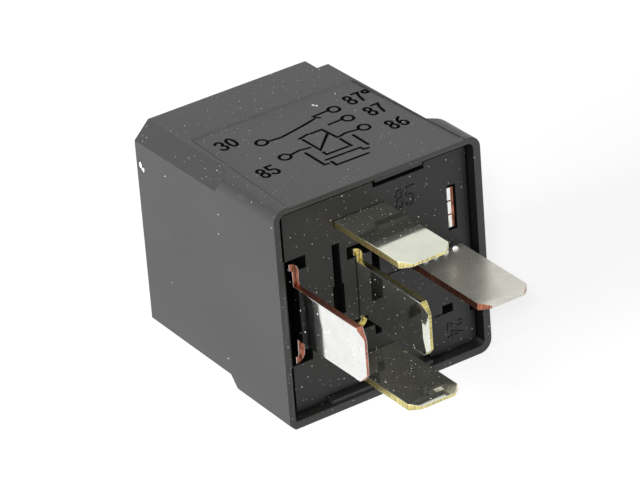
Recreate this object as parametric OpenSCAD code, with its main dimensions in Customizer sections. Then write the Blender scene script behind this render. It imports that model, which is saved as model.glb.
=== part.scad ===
// Automotive changeover relay with five flat blades and a plug-in case.
// Each piece is drawn with the blades pointing down: z = 0 is the rim that meets the socket,
// +Z runs up to the closed end, and -Y is the front face, which carries the circuit.
// lay_down() turns the whole relay onto its back face, as it lies on a table.

/* [Case] */
// Width of the case at the rim
case_w = 26; // [25.8:0.1:30]
// Depth of the case at the rim, from the back face to the front face
case_d = 26; // [25.8:0.1:30]
// Length of the case from the rim to the closed end
case_l = 26.7; // [26:0.1:34]
// Thickness of the side walls
wall = 0.8; // [0.75:0.05:1]
// Thickness of the closed end
end_wall = 1.1; // [0.8:0.1:2]
// How far the front and the back lean in over the whole length
draft = 0.27; // [0.1:0.01:0.35]
// How far the left and the right side lean in over the whole length
side_draft = 0.06; // [0.02:0.01:0.3]
// Radius of three of the long corners
corner_r = 1.5; // [1.2:0.1:2]
// Width taken off each side by the bevel on the fourth long corner, at the back on the left
key_bevel = 0.65; // [0.6:0.05:0.9]
// Width taken off each side by the flats on the left
corner_cut = 1.9; // [1.7:0.1:2.2]
// Width taken off each side by the flats on the right
right_cut = 2; // [1.8:0.1:2.2]
// How much wider the flats on the right grow over the whole length
right_grow = 0.4; // [0:0.05:0.6]
// Width of the lead-in bevel inside the rim
rim_bevel = 0.35; // [0.2:0.05:0.35]
// Depth of the lead-in bevel inside the rim
rim_bevel_h = 0.12; // [0.08:0.01:0.3]
// Height of the lower end of the two flats on the left
left_flat_z = 11.1; // [8:0.1:16]
// Height of the lower end of the two flats on the right
right_flat_z = 6.6; // [6.4:0.1:16]
// Fall of the ramp that ends a flat, for each millimetre outwards
ramp_fall = 1.25; // [0.8:0.05:1.8]
// Width taken off each side by the index cut at the closed end
index_cut = 3.8; // [3:0.1:4.2]
// Length of the index cut
index_l = 2.3; // [1:0.1:3]
// Depth of the marking panel on the front face
panel_depth = 0.12; // [0.08:0.01:0.2]
// Distance of the marking panel from each side at the rim
panel_edge = 1.75; // [1.5:0.05:2.2]
// How far the sides of the marking panel close in over its length
panel_taper = 0.95; // [0.5:0.05:1.5]
// Length of the marking panel
panel_l = 19.3; // [15:0.1:24]
// Width of each rib that stops the base
rib_w = 1.6; // [1:0.1:2.5]
// Height of each rib that stops the base
rib_h = 0.6; // [0.4:0.05:0.7]
// Distance of each stop rib from the middle of its wall
rib_y = 8.6; // [8.6:0.1:9.4]
// Room between the arm of terminal 87a and the closed end
head_room = 1.98; // [1.2:0.02:3]

/* [Base] */
// Depth of the base below the rim
recess = 1.3; // [1:0.1:1.8]
// Thickness of the base
base_t = 3.2; // [3.1:0.1:3.6]
// Gap between the base and the case all round
base_gap = 0.25; // [0.1:0.01:0.3]
// Radius of the corners of the base
base_r = 0.75; // [0.5:0.05:0.95]
// Width of the notch in the front edge of the base
front_notch_w = 6.5; // [4:0.1:8]
// Middle of the front notch
front_notch_x = 3.4; // [1:0.1:6]
// How far the front notch reaches into the base
front_notch_in = 1.3; // [1:0.05:1.5]
// Width of the notch in the back edge of the base
back_notch_w = 13.4; // [8:0.1:15]
// Middle of the back notch
back_notch_x = -0.8; // [-2:0.1:2]
// How far the back notch reaches into the base
back_notch_in = 0.5; // [0.4:0.05:0.8]
// Length of the small notch in the right edge of the base
side_notch_l = 2; // [1:0.1:3]
// Middle of the small notch, behind the middle of the case
side_notch_y = 7.2; // [6.6:0.1:8]
// How far the small notch reaches into the base
side_notch_in = 0.6; // [0.4:0.05:0.8]
// Clearance at the sides of a snap nose, and at the tip of the back one
nose_gap = 0.25; // [0.15:0.05:0.4]
// Clearance at the tip of the front nose
front_nose_gap = 0.55; // [0.3:0.05:0.7]
// Lead-in on the upper edge of a snap nose
nose_lead = 0.3; // [0.2:0.05:0.5]
// Height of the outer end of the front nose
front_nose_z = 1.2; // [1:0.1:2]
// Height of the outer end of the back nose
back_nose_z = 0.45; // [0.3:0.05:0.8]
// Height of the pads that the yoke stands on
pad_h = 0.3; // [0.2:0.05:0.5]
// Width of those pads
pad_w = 1.6; // [1:0.1:2.4]
// Distance of each pad's middle from the edge of the yoke
pad_in = 1; // [0.8:0.1:2]
// Clearance between a terminal and its slot, on each side
slot_gap = 0.05; // [0.03:0.01:0.1]
// Room in the base around the curled ends of a shoulder
curl_room = 0.3; // [0.2:0.05:0.5]
// Room in the base behind and beside the tail of the leaf spring
tail_room = 0.28; // [0.2:0.02:0.4]

/* [Openings in the base] */
// Depth of the blind openings that the mould's pins leave
opening_depth = 1.5; // [1:0.1:2]
// Distance of the long slot to the left of blade 87a
long_slot_x = 2.78; // [2.6:0.02:3]
// Width of its narrow front part
long_slot_w = 0.95; // [0.8:0.05:1.1]
// Width of its wide back part
long_slot_wide = 1.4; // [1.2:0.05:1.5]
// Length of the narrow part
long_slot_l = 4.8; // [4:0.1:5.2]
// Length of the wide part
long_slot_wide_l = 3.5; // [3:0.1:4]
// How far the wide part reaches behind the middle of the blades
long_slot_back = 2.3; // [1.8:0.1:2.6]
// Distance of the short slot to the right of blade 87a
short_slot_x = 2.05; // [1.9:0.05:2.4]
// Width of the short slot
short_slot_w = 0.9; // [0.6:0.05:1.1]
// Length of the short slot
short_slot_l = 4.6; // [4:0.1:5]
// How far its middle lies in front of the middle of the blades
short_slot_y = 2.8; // [2.6:0.1:3.2]
// Width of the hole behind the shoulder of terminal 87a
rear_hole_w = 0.8; // [0.6:0.05:1]
// Length of the hole behind the shoulder of terminal 87a
rear_hole_l = 1.25; // [0.8:0.05:1.4]
// Distance of that hole to the right of blade 87a
rear_hole_x = 1.8; // [1.6:0.05:2.2]
// Distance of that hole behind the end of the shoulder
rear_hole_y = 0.88; // [0.6:0.02:1]
// Width of the square hole behind blade 30
square_hole_w = 1.35; // [1:0.05:1.6]
// Length of the square hole behind blade 30
square_hole_l = 1; // [0.8:0.05:1.4]
// Distance of the square hole to the right of the middle of blade 30
square_hole_x = 0.88; // [0.6:0.02:1.1]
// Distance of the square hole behind the middle of the blades
square_hole_y = 6.7; // [6.4:0.1:7]
// Length of the witness line that runs left from the square hole
witness_l = 1.05; // [0.6:0.05:1.6]
// Width and depth of that line
witness_w = 0.15; // [0.1:0.01:0.2]

/* [Terminals] */
// Width of each blade
blade_w = 6.3; // [6:0.1:6.6]
// Thickness of each blade
blade_t = 0.8; // [0.7:0.05:0.85]
// How far the blades stand out of the rim
blade_out = 11.2; // [9:0.1:13]
// Corner taken off each side of a blade tip
tip_cut = 1.05; // [0.6:0.05:1.4]
// Length of the bevel on the faces of a blade tip
bevel_l = 0.9; // [0.5:0.05:1.4]
// Depth of the bevel on each face of a blade tip
bevel_t = 0.22; // [0.1:0.01:0.3]
// Pitch from blade 87 to blade 87a
pitch_87_87a = 8; // [7.8:0.05:8.3]
// Pitch from blade 87a to blade 30
pitch_87a_30 = 9.8; // [9.6:0.05:10]
// Pitch from blade 85 to blade 86
pitch_85_86 = 16.8; // [16.6:0.05:17]
// Sideways place of blades 85 and 86, measured from blade 87a
coil_pins_x = 0.4; // [0:0.1:0.8]
// Offset of the blades to the right of the middle of the case
pins_x = -2.15; // [-2.4:0.05:-1.9]
// Offset of the blades to the back of the middle of the case
pins_y = 0.2; // [0:0.05:0.3]
// Half length of the shoulder on terminal 87
shoulder_87 = 5.9; // [5.4:0.05:6.2]
// Half length of the shoulder on terminal 87a
shoulder_87a = 4.8; // [4.4:0.05:5]
// Radius of the curled ends of the shoulders, on the middle of the metal
curl_r = 0.75; // [0.6:0.05:0.8]
// How far the shoulders stand proud of the base
shoulder_proud = 0.15; // [0.05:0.05:0.3]
// Width of the stop shoulder on terminals 85 and 86
stop_w = 8; // [7.2:0.1:9]
// Height of the stop shoulder on terminals 85 and 86
stop_h = 0.9; // [0.5:0.1:1.2]
// Width of the tails that take the coil wires
tail_w = 1.4; // [1.1:0.1:1.8]
// Height of the tails above the base
tail_h = 7.2; // [6.6:0.1:9]
// Width of the riser of terminal 87
riser_87_w = 4.6; // [3.6:0.1:5]
// Width of the riser of terminal 87a
riser_87a_w = 3.6; // [3:0.1:4]
// Gap between the two risers
riser_gap = 1.4; // [1:0.1:1.8]
// Width of the strap of terminal 87a under the coil
strap_w = 2.8; // [2.2:0.1:3]
// Distance of the strap's front edge behind the middle of the blades
strap_y = 0.4; // [0.2:0.05:0.6]
// Depth of the strap below the inner face of the base
strap_sink = 0.1; // [0.05:0.01:0.2]
// Clearance between the strap and the riser of terminal 87
strap_clear = 1; // [0.8:0.1:1.2]
// Height of the plain blade above the shoulders, up to the strap
shoulder_top = 0.4; // [0.3:0.05:0.6]
// Width of the foot of terminal 30
foot_w = 4; // [3:0.1:4.6]
// Length of the foot of terminal 30
foot_l = 4.4; // [3.6:0.1:5]
// Radius of the staking bumps at the root of blade 30
bump_r = 0.45; // [0.3:0.05:0.5]
// Distance between the staking bumps
bump_pitch = 1.3; // [1:0.1:1.5]

/* [Magnet] */
// Place of the coil to the right of the middle of the case
coil_x = 1.2; // [1:0.05:1.4]
// Radius of the core
core_r = 2.75; // [2.4:0.05:3]
// Radius of the core's riveted spigot
spigot_r = 2; // [1.6:0.1:2.2]
// Radius of the pole face
pole_r = 4.2; // [3.6:0.1:4.6]
// Thickness of the pole plate
pole_t = 0.9; // [0.7:0.05:1.2]
// Radius of the bobbin's flanges
bobbin_r = 6.1; // [5.8:0.05:6.2]
// Thickness of the bobbin's flanges
flange_t = 0.9; // [0.7:0.05:1.2]
// Wall of the bobbin's tube
tube_wall = 0.6; // [0.4:0.05:0.8]
// Outer radius of the winding
winding_r = 5.5; // [4.8:0.05:5.7]
// Distance from the core to the lugs that steady the terminals' tails
lug_in = 2; // [1.6:0.1:3]
// Diameter of the winding wire
wire_d = 0.3; // [0.25:0.05:0.5]
// Thickness of the yoke
yoke_t = 1.6; // [1.4:0.05:1.7]
// Width of the yoke
yoke_w = 11; // [10:0.1:12]
// Gap between the bobbin and the yoke's leg
yoke_gap = 0.9; // [0.6:0.05:1]
// Radius inside the yoke's bend
yoke_bend_r = 0.6; // [0.4:0.1:0.8]
// Thickness of the armature
armature_t = 1.4; // [1.1:0.05:1.5]
// How far the armature reaches past the pole face
armature_over = 1; // [0.6:0.1:1.4]
// Gap between the pole and the armature with the coil off
pole_gap = 0.45; // [0.4:0.01:0.6]
// Clearance between the yoke's top edge and the armature
hinge_gap = 0.03; // [0.02:0.01:0.05]
// Clearance between the core and the bobbin's tube
core_gap = 0.08; // [0.03:0.01:0.15]
// Clearance of a riveted or clamped joint
seat_gap = 0.02; // [0.01:0.01:0.04]

/* [Contacts] */
// Travel of the moving contact
contact_gap = 0.55; // [0.4:0.01:0.58]
// Clearance of the closed contact
closed_gap = 0.02; // [0.01:0.01:0.04]
// Radius of each contact
head_r = 1.4; // [1.1:0.05:1.5]
// Height of each contact
head_t = 0.55; // [0.4:0.05:0.6]
// Radius of a contact's shank
shank_r = 0.7; // [0.5:0.05:0.8]
// Clearance between a contact and the riser beside it
contact_clear = 0.4; // [0.3:0.05:0.6]
// Rim of metal around a contact
contact_rim = 0.2; // [0.15:0.05:0.3]
// Thickness of the leaf spring
leaf_t = 0.35; // [0.25:0.05:0.4]
// Width of the leaf spring over the armature
leaf_w = 9; // [7:0.1:9.6]
// Width of the leaf spring at its contact
leaf_tip_w = 4; // [3.2:0.1:4.2]
// How far the full width of the leaf spring stops short of the armature's edge
leaf_neck = 0.3; // [0.1:0.05:0.6]
// Radius inside the leaf spring's bend
leaf_bend_r = 0.6; // [0.4:0.05:0.8]
// Width of the tail of the leaf spring in the base
leaf_tail_w = 4.7; // [3:0.1:5]
// Middle of that tail, in front of the middle of the case
leaf_tail_y = 4.85; // [4.4:0.05:5]
// Thickness of that tail, where the strip is folded double
leaf_tail_t = 0.8; // [0.7:0.05:0.9]
// Height above the base where the leaf spring narrows to its tail
leaf_foot_z = 2; // [1.5:0.1:3]
// Depth of the tail's end below the outer face of the base
leaf_tail_in = 0.1; // [0.05:0.05:0.3]
// Radius of the rivets that hold the leaf spring
rivet_r = 0.65; // [0.5:0.05:0.8]
// Radius of their heads
rivet_head_r = 1.1; // [0.9:0.05:1.3]
// Height of their heads
rivet_head_t = 0.45; // [0.3:0.05:0.6]
// Distance between the rivets of a pair
rivet_pitch = 5.2; // [4:0.1:6]
// Height of the yoke rivets above the base
yoke_rivet_z = 8; // [5:0.1:11]

/* [Suppression diode] */
// Diameter of the diode's body
diode_d = 2.4; // [2:0.1:2.7]
// Length of the diode's body
diode_l = 4.6; // [4:0.1:5.6]
// Diameter of the diode's leads
lead_d = 0.6; // [0.4:0.05:0.7]
// Length of each lead inside the body
lead_in = 0.8; // [0.5:0.1:1.2]
// Clearance between the diode and blade 87's riser
diode_clear = 1.3; // [1:0.05:1.5]
// Height of the diode above the base
diode_z = 4.6; // [4.2:0.1:5]
// Height above the base where the coil wires wrap their tails
wrap_z = 6; // [5.8:0.1:6]
// Turns of coil wire on each tail
wrap_turns = 3; // [2:1:3]
// Clearance between the coil wires and the winding
wire_gap = 0.05; // [0.03:0.01:0.1]

/* [Hidden] */

// Fine enough that round faces stay round; hulls take a coarser count.
$fn = 48;
hull_fn = 32;

// How much thicker each wrapped turn is drawn, so that it fuses with the next one.
wrap_overlap = 1.05;

// A thin slice that a hull starts or ends on, how far a cut runs past the metal or plastic that
// it cuts, and a length that reaches across any wall.
slice = 0.01;
past = 1;
reach = 4;

plastic = "#2e2f31";
inner_plastic = "#232426";
tin = "#c9c8bd";
steel = "#a9abad";
copper = "#b5694a";
silver = "#dfe0e2";

// Levels, from the rim up.
face_z = recess;
floor_z = face_z + base_t;
yoke_z = floor_z + pad_h;
bobbin_z = yoke_z + yoke_t;
inner_end = case_l - end_wall;
arm_87a_z = inner_end - head_room - blade_t;
leaf_top = arm_87a_z - head_t - closed_gap - head_t;
leaf_z = leaf_top - leaf_t;
seat_87_z = leaf_z - head_t - contact_gap - head_t;
arm_z = leaf_z - armature_t;
pole_z = arm_z - pole_gap;
flange_z = pole_z - pole_t;
diode_axis_z = floor_z + diode_z;
rivet_z = floor_z + yoke_rivet_z;

// The bobbin is as long as the case leaves room for.
bobbin_l = flange_z - bobbin_z;

// Places across the case.
x_87a = pins_x;
x_87 = x_87a - pitch_87_87a;
x_30 = x_87a + pitch_87a_30;
x_coil_pins = x_87a + coil_pins_x;
y_85 = pins_y - pitch_85_86 / 2;
y_86 = pins_y + pitch_85_86 / 2;
inner_w = case_w - 2 * wall;
inner_d = case_d - 2 * wall;
base_w = inner_w - 2 * base_gap;
base_d = inner_d - 2 * base_gap;
yoke_x = coil_x + bobbin_r + yoke_gap;
yoke_back = yoke_x + yoke_t;
leaf_x = yoke_back + seat_gap;
tail_x = leaf_x + leaf_t - leaf_tail_t;
riser_x = x_87 - blade_t / 2;
contact_x = x_87 + blade_t / 2 + contact_clear + head_r;
seat_end = contact_x + head_r + contact_rim;
armature_x = coil_x - pole_r - armature_over;
strap_z = floor_z - blade_t - strap_sink;
shoulder_z = strap_z - shoulder_top;
riser_87a_y = pins_y + riser_87_w / 2 + riser_gap;
diode_x = x_87 + blade_t / 2 + diode_clear + diode_d / 2;
winding_in = core_r + core_gap + tube_wall + seat_gap;
winding_z = bobbin_z + flange_t + seat_gap;
winding_l = bobbin_l - 2 * (flange_t + seat_gap);

// How far the front and the back, and the left and the right side, have leaned in at a height.
function lean(z) = draft * z / case_l;
function side_lean(z) = side_draft * z / case_l;

// Distance of a corner flat from the middle of the case at a height.
function flat_u(cut, grow, z, inset) =
    ((case_w + case_d) / 2 - cut - lean(z) - side_lean(z) - grow * z / case_l) / sqrt(2) - inset;

// ---- shared shapes ----

module rounded_plate(w, d, r, t) {
    linear_extrude(t) {
        square([w - 2 * r, d], center = true);
        square([w, d - 2 * r], center = true);
        for (sx = [-1, 1], sy = [-1, 1])
            translate([sx * (w / 2 - r), sy * (d / 2 - r)]) circle(r);
    }
}

// A box from two opposite corners.
module block(low, high) {
    translate(low) cube(high - low);
}

// A round bar from one point to another.
module rod(a, b, d) {
    v = b - a;
    translate(a)
        rotate([0, acos(v.z / norm(v)), atan2(v.y, v.x)])
            cylinder(d = d, h = norm(v));
}

// Flat stock standing across X, cut to an outline in (y, z).
module stock_across_x(x, t = blade_t) {
    translate([x - t / 2, 0, 0]) rotate([90, 0, 90]) linear_extrude(t) children();
}

// Flat stock standing across Y, cut to an outline in (x, z).
module stock_across_y(y, t = blade_t) {
    translate([0, y + t / 2, 0]) rotate([90, 0, 0]) linear_extrude(t) children();
}

// ---- case ----

// The four corners of the case at a height, taken in by an inset: three rounded, one bevelled.
module outline_corners(inset, z) {
    hw = case_w / 2 - inset - side_lean(z);
    hd = case_d / 2 - inset - lean(z);
    r = corner_r - inset;
    bevel = max(key_bevel - (2 - sqrt(2)) * inset, slice);
    translate([0, 0, z])
        linear_extrude(slice) {
            for (c = [[-1, -1], [1, -1], [1, 1]])
                translate([c.x * (hw - r), c.y * (hd - r)]) circle(r, $fn = hull_fn);
            polygon([[-hw, hd - bevel], [bevel - hw, hd], [0, 0]]);
        }
}

// The closed form of the case with its drafted sides, taken in by an inset.
module drafted_block(inset, z0, z1) {
    hull() {
        outline_corners(inset, z0);
        outline_corners(inset, z1 - slice);
    }
}

// The cut that bevels the inside edge of the rim.
module rim_lead_in() {
    hull()
        for (k = [-1, 1.5])
            outline_corners(wall + (k - 1) * rim_bevel, k * rim_bevel_h);
}

// The wedge that cuts one long corner: a flat whose lower end is a ramp.
module corner_wedge(cut, grow, z, inset, fall) {
    top = case_l + past;
    low_u = flat_u(cut, grow, z, inset);
    rotate([90, 0, 0])
        linear_extrude(case_w, center = true)
            polygon([[low_u, z], [low_u + reach, z - fall * reach], [low_u + reach, top],
                [flat_u(cut, grow, top, inset), top]]);
}

module corner_wedges(inset) {
    for (a = [45, -45]) {
        rotate(a) corner_wedge(right_cut, right_grow, right_flat_z, inset, ramp_fall);
        rotate(180 + a) corner_wedge(corner_cut, 0, left_flat_z, inset, ramp_fall);
    }
    rotate(-45) corner_wedge(index_cut, 0, case_l - index_l - inset, inset, 0);
}

// The tapered panel on the front face, which follows the draft.
module marking_panel() {
    foot = case_w / 2 - panel_edge;
    head = foot - panel_taper;
    translate([0, -case_d / 2, 0])
        rotate([90 - atan(draft / case_l), 0, 0])
            translate([0, 0, -panel_depth])
                linear_extrude(reach)
                    polygon([[-foot, -1], [foot, -1], [head, panel_l], [-head, panel_l]]);
}

// A snap nose on the inside of a wall: square below, sloped above.
module snap_nose(w, x, z, proud, side) {
    root = inner_d / 2 + wall / 2;
    tip = inner_d / 2 - proud;
    top = face_z + base_t / 2 - nose_gap / 2;
    outline = [[root, z], [tip, z], [tip, top - nose_lead], [tip + nose_lead, top], [root, top]];
    translate([x - w / 2, 0, 0])
        mirror([0, side < 0 ? 1 : 0, 0])
            rotate([90, 0, 90]) linear_extrude(w) polygon(outline);
}

module cap() {
    // Each rib is rooted halfway into its wall
    rib_reach = rib_h + wall / 2;
    color(plastic) {
        difference() {
            drafted_block(0, 0, case_l);
            corner_wedges(0);
            marking_panel();
            difference() {
                drafted_block(wall, -past, inner_end);
                corner_wedges(wall);
            }
            rim_lead_in();
        }
        intersection() {
            for (sx = [-1, 1], sy = [-1, 1])
                translate([sx * (inner_w + wall - rib_reach) / 2, sy * rib_y, (floor_z + case_l) / 2])
                    cube([rib_reach, rib_w, case_l - floor_z - wall], center = true);
            drafted_block(wall / 2, floor_z, case_l - end_wall / 2);
        }
        snap_nose(front_notch_w - 2 * nose_gap, front_notch_x, front_nose_z,
            front_notch_in + base_gap - front_nose_gap, -1);
        snap_nose(back_notch_w - 2 * nose_gap, back_notch_x, back_nose_z,
            back_notch_in + base_gap - nose_gap, 1);
    }
}

// ---- base ----

// A slot through the base for a blade; across is "x" or "y".
module blade_slot(x, y, across, low, high) {
    long = blade_w + 2 * slot_gap;
    thin = blade_t + 2 * slot_gap;
    size = across == "x" ? [thin, long] : [long, thin];
    translate([x - size.x / 2, y - size.y / 2, low]) cube([size.x, size.y, high - low]);
}

// The outline, seen from the blades, of a shoulder with both ends curled to the left.
module shoulder_outline(half, grow = 0) {
    t = blade_t + 2 * grow;
    straight = half - curl_r - blade_t / 2;
    translate([-t / 2, -straight]) square([t, 2 * straight]);
    for (s = [-1, 1])
        translate([-curl_r, s * straight])
            intersection() {
                difference() {
                    circle(curl_r + t / 2);
                    circle(curl_r - t / 2);
                }
                translate([0, s > 0 ? 0 : -reach]) square([reach, reach]);
            }
}

module terminal_pockets() {
    low = face_z - past;
    deep = shoulder_z + slot_gap;
    curl = curl_r + blade_t / 2;
    // Around both curled ends of terminal 87, with an open channel between them
    for (s = [-1, 1]) {
        end = pins_y + s * (shoulder_87 + curl_room);
        block([x_87 - curl, min(end, end - s * (curl + curl_room)), low],
            [x_87 + curl + curl_room, max(end, end - s * (curl + curl_room)), deep]);
    }
    block([x_87 - curl, pins_y - shoulder_87, low],
        [x_87 + blade_t / 2 + slot_gap, pins_y + shoulder_87, deep]);
    // Around the curled ends of terminal 87a, with more room beside the front one
    block([x_87a - curl - curl_room, pins_y - shoulder_87a - curl_room, low],
        [x_87a + short_slot_x + short_slot_w / 2, pins_y - shoulder_87a + curl, deep]);
    block([x_87a - curl - curl_room, pins_y + shoulder_87a - curl, low],
        [x_87a + curl + curl_room, pins_y + shoulder_87a + curl_room, deep]);
    translate([x_87a, pins_y, low]) linear_extrude(deep - low) shoulder_outline(shoulder_87a, slot_gap);
}

// A blind opening in the outer face, about a middle point.
module blind_opening(x, y, w, l, depth = opening_depth) {
    block([x - w / 2, y - l / 2, face_z - past], [x + w / 2, y + l / 2, face_z + depth]);
}

// The openings that the mould's pins leave in the outer face.
module mould_openings() {
    wide_y = pins_y + long_slot_back - long_slot_wide_l / 2;
    narrow_y = pins_y + long_slot_back - long_slot_wide_l - long_slot_l / 2;
    blind_opening(x_87a - long_slot_x, wide_y, long_slot_wide, long_slot_wide_l);
    blind_opening(x_87a - long_slot_x, narrow_y, long_slot_w, long_slot_l + 2 * slot_gap);
    blind_opening(x_87a + short_slot_x, pins_y - short_slot_y, short_slot_w, short_slot_l);
    blind_opening(x_87a + rear_hole_x, pins_y + shoulder_87a + rear_hole_y, rear_hole_w, rear_hole_l);
    blind_opening(x_30 + square_hole_x, pins_y + square_hole_y, square_hole_w, square_hole_l);
    blind_opening(x_30 + square_hole_x - (square_hole_w + witness_l) / 2,
        pins_y + square_hole_y + (square_hole_l - witness_w) / 2,
        witness_l + 2 * slot_gap, witness_w, witness_w);
}

// The L-shaped channel that the strap of terminal 87a lies in.
module strap_outline(grow = 0) {
    right = x_87a + blade_t / 2 + grow;
    left = riser_x + blade_t + strap_clear - grow;
    corner = left + strap_w + 2 * grow;
    front = pins_y + strap_y - grow;
    back = riser_87a_y + riser_87a_w + grow;
    translate([left, front]) square([right - left, strap_w + 2 * grow]);
    translate([left, front]) square([corner - left, back - front]);
    translate([riser_x - grow, riser_87a_y - grow]) square([corner - riser_x, riser_87a_w + 2 * grow]);
}

module base() {
    color(inner_plastic)
        difference() {
            union() {
                translate([0, 0, face_z]) rounded_plate(base_w, base_d, base_r, base_t);
                for (sy = [-1, 1])
                    translate([coil_x - bobbin_r, sy * (yoke_w / 2 - pad_in) - pad_w / 2, floor_z - slice])
                        cube([yoke_x - coil_x + bobbin_r, pad_w, pad_h + slice]);
            }
            // Notches for the snap noses, with a ledge left above each
            block([front_notch_x - front_notch_w / 2, -case_d, 0],
                [front_notch_x + front_notch_w / 2, front_notch_in - base_d / 2, face_z + base_t / 2]);
            block([back_notch_x - back_notch_w / 2, base_d / 2 - back_notch_in, 0],
                [back_notch_x + back_notch_w / 2, case_d, face_z + base_t / 2]);
            block([base_w / 2 - side_notch_in, side_notch_y - side_notch_l / 2, 0],
                [case_w, side_notch_y + side_notch_l / 2, face_z + opening_depth]);
            blade_slot(x_coil_pins, y_85, "y", 0, floor_z + past);
            blade_slot(x_coil_pins, y_86, "y", 0, floor_z + past);
            blade_slot(x_30, pins_y, "y", 0, floor_z + past);
            blade_slot(x_87, pins_y, "x", 0, floor_z + past);
            blade_slot(x_87a, pins_y, "x", 0, floor_z + past);
            terminal_pockets();
            mould_openings();
            // Strap of terminal 87a, foot of terminal 30 and tail of the leaf spring
            translate([0, 0, strap_z - slot_gap]) linear_extrude(reach) strap_outline(slot_gap);
            block([x_30 - foot_w / 2 - slot_gap, pins_y, yoke_z - blade_t - slot_gap],
                [x_30 + foot_w / 2 + slot_gap, pins_y + foot_l + slot_gap, floor_z + past]);
            block([tail_x - slot_gap, -leaf_tail_y - leaf_tail_w / 2 - tail_room, 0],
                [leaf_x + leaf_t + tail_room, -leaf_tail_y + leaf_tail_w / 2 + tail_room, floor_z + past]);
        }
}

// ---- terminals ----

// The outline of a blade, from its tip up to a height.
module blade_outline(top) {
    polygon([
        [-blade_w / 2 + tip_cut, -blade_out], [blade_w / 2 - tip_cut, -blade_out],
        [blade_w / 2, -blade_out + tip_cut], [blade_w / 2, top],
        [-blade_w / 2, top], [-blade_w / 2, -blade_out + tip_cut]
    ]);
}

// The bevelled faces at the tip of a blade standing across Y.
module tip_bevel_across_y(x, y) {
    t = blade_t / 2;
    for (s = [0, 1])
        translate([x, y, -blade_out])
            mirror([0, s, 0])
                rotate([90, 0, 90])
                    linear_extrude(blade_w + 2 * past, center = true)
                        polygon([[t - bevel_t, -past], [t - bevel_t, 0], [t, bevel_l],
                            [t + past, bevel_l], [t + past, -past]]);
}

// The same for a blade standing across X.
module tip_bevel_across_x(x, y) {
    translate([x, y, 0]) rotate(90) tip_bevel_across_y(0, 0);
}

// Terminals 85 and 86: blade, stop shoulder on the base, tail for the coil wire.
module coil_terminal(y) {
    color(tin)
        difference() {
            stock_across_y(y)
                translate([x_coil_pins, 0]) {
                    blade_outline(floor_z + stop_h);
                    translate([-stop_w / 2, floor_z]) square([stop_w, stop_h]);
                    translate([-tail_w / 2, floor_z]) square([tail_w, tail_h]);
                }
            tip_bevel_across_y(x_coil_pins, y);
        }
}

module terminal_85() {
    coil_terminal(y_85);
}

module terminal_86() {
    coil_terminal(y_86);
}

// Terminal 30: blade and a foot bent back under the yoke.
module terminal_30() {
    color(tin)
        difference() {
            union() {
                stock_across_y(pins_y)
                    translate([x_30, 0]) {
                        blade_outline(strap_z);
                        translate([-foot_w / 2, 0]) square([foot_w, yoke_z]);
                    }
                block([x_30 - foot_w / 2, pins_y - blade_t / 2, yoke_z - blade_t],
                    [x_30 + foot_w / 2, pins_y + foot_l, yoke_z]);
                // Staking bumps at the root of the blade
                for (i = [-1.5:1:1.5])
                    translate([x_30 + bump_pitch * i, pins_y - blade_t / 2, face_z - bump_r]) sphere(bump_r);
            }
            tip_bevel_across_y(x_30, pins_y);
        }
}

// The contact hole in a seat.
module contact_hole(z) {
    translate([contact_x, pins_y, z - past]) cylinder(r = shank_r + seat_gap, h = blade_t + 2 * past);
}

// Terminal 87: blade, curled shoulder, riser and the seat of its contact.
module terminal_87() {
    top = seat_87_z;
    half = riser_87_w / 2;
    color(tin)
        difference() {
            union() {
                stock_across_x(x_87) translate([pins_y, 0]) blade_outline(shoulder_z);
                translate([x_87, pins_y, face_z - shoulder_proud])
                    linear_extrude(shoulder_z - face_z + shoulder_proud) shoulder_outline(shoulder_87);
                stock_across_x(x_87)
                    translate([pins_y - half, 0]) square([riser_87_w, top]);
                block([riser_x, pins_y - half, top - blade_t], [seat_end, pins_y + half, top]);
            }
            tip_bevel_across_x(x_87, pins_y);
            contact_hole(top - blade_t);
        }
}

// Terminal 87a: blade, curled shoulder, strap under the coil, riser and the arm over the contact.
module terminal_87a() {
    y0 = riser_87a_y;
    y1 = riser_87a_y + riser_87a_w;
    top = arm_87a_z + blade_t;
    color(tin)
        difference() {
            union() {
                stock_across_x(x_87a) translate([pins_y, 0]) blade_outline(shoulder_z);
                translate([x_87a, pins_y, face_z - shoulder_proud])
                    linear_extrude(shoulder_z - face_z + shoulder_proud) shoulder_outline(shoulder_87a);
                stock_across_x(x_87a)
                    translate([pins_y + strap_y, 0]) square([strap_w, strap_z + blade_t]);
                translate([0, 0, strap_z]) linear_extrude(blade_t) strap_outline();
                block([riser_x, y0, strap_z], [riser_x + blade_t, y1, top]);
                block([riser_x, pins_y - riser_87_w / 2, arm_87a_z], [seat_end, y1, top]);
            }
            tip_bevel_across_x(x_87a, pins_y);
            contact_hole(arm_87a_z);
        }
}

// ---- magnet ----

// The leg and the foot of the yoke with a round bend between them.
module yoke() {
    outer_r = yoke_bend_r + yoke_t;
    bend_x = yoke_back - outer_r;
    bend_z = yoke_z + outer_r;
    left = coil_x - bobbin_r;
    top = arm_z - hinge_gap;
    color(steel)
        difference() {
            translate([0, yoke_w / 2, 0])
                rotate([90, 0, 0])
                    linear_extrude(yoke_w)
                        difference() {
                            union() {
                                translate([left, yoke_z]) square([bend_x - left, yoke_t]);
                                translate([yoke_x, bend_z]) square([yoke_t, top - bend_z]);
                                intersection() {
                                    translate([bend_x, bend_z]) circle(outer_r);
                                    translate([bend_x, yoke_z]) square([outer_r, outer_r]);
                                }
                            }
                            translate([bend_x, bend_z]) circle(yoke_bend_r);
                        }
            translate([coil_x, 0, yoke_z - past]) cylinder(r = spigot_r + seat_gap, h = yoke_t + 2 * past);
            for (s = [-1, 1])
                translate([yoke_x - past, s * rivet_pitch / 2, rivet_z])
                    rotate([0, 90, 0]) cylinder(r = rivet_r + seat_gap, h = yoke_t + 2 * past);
        }
}

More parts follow.
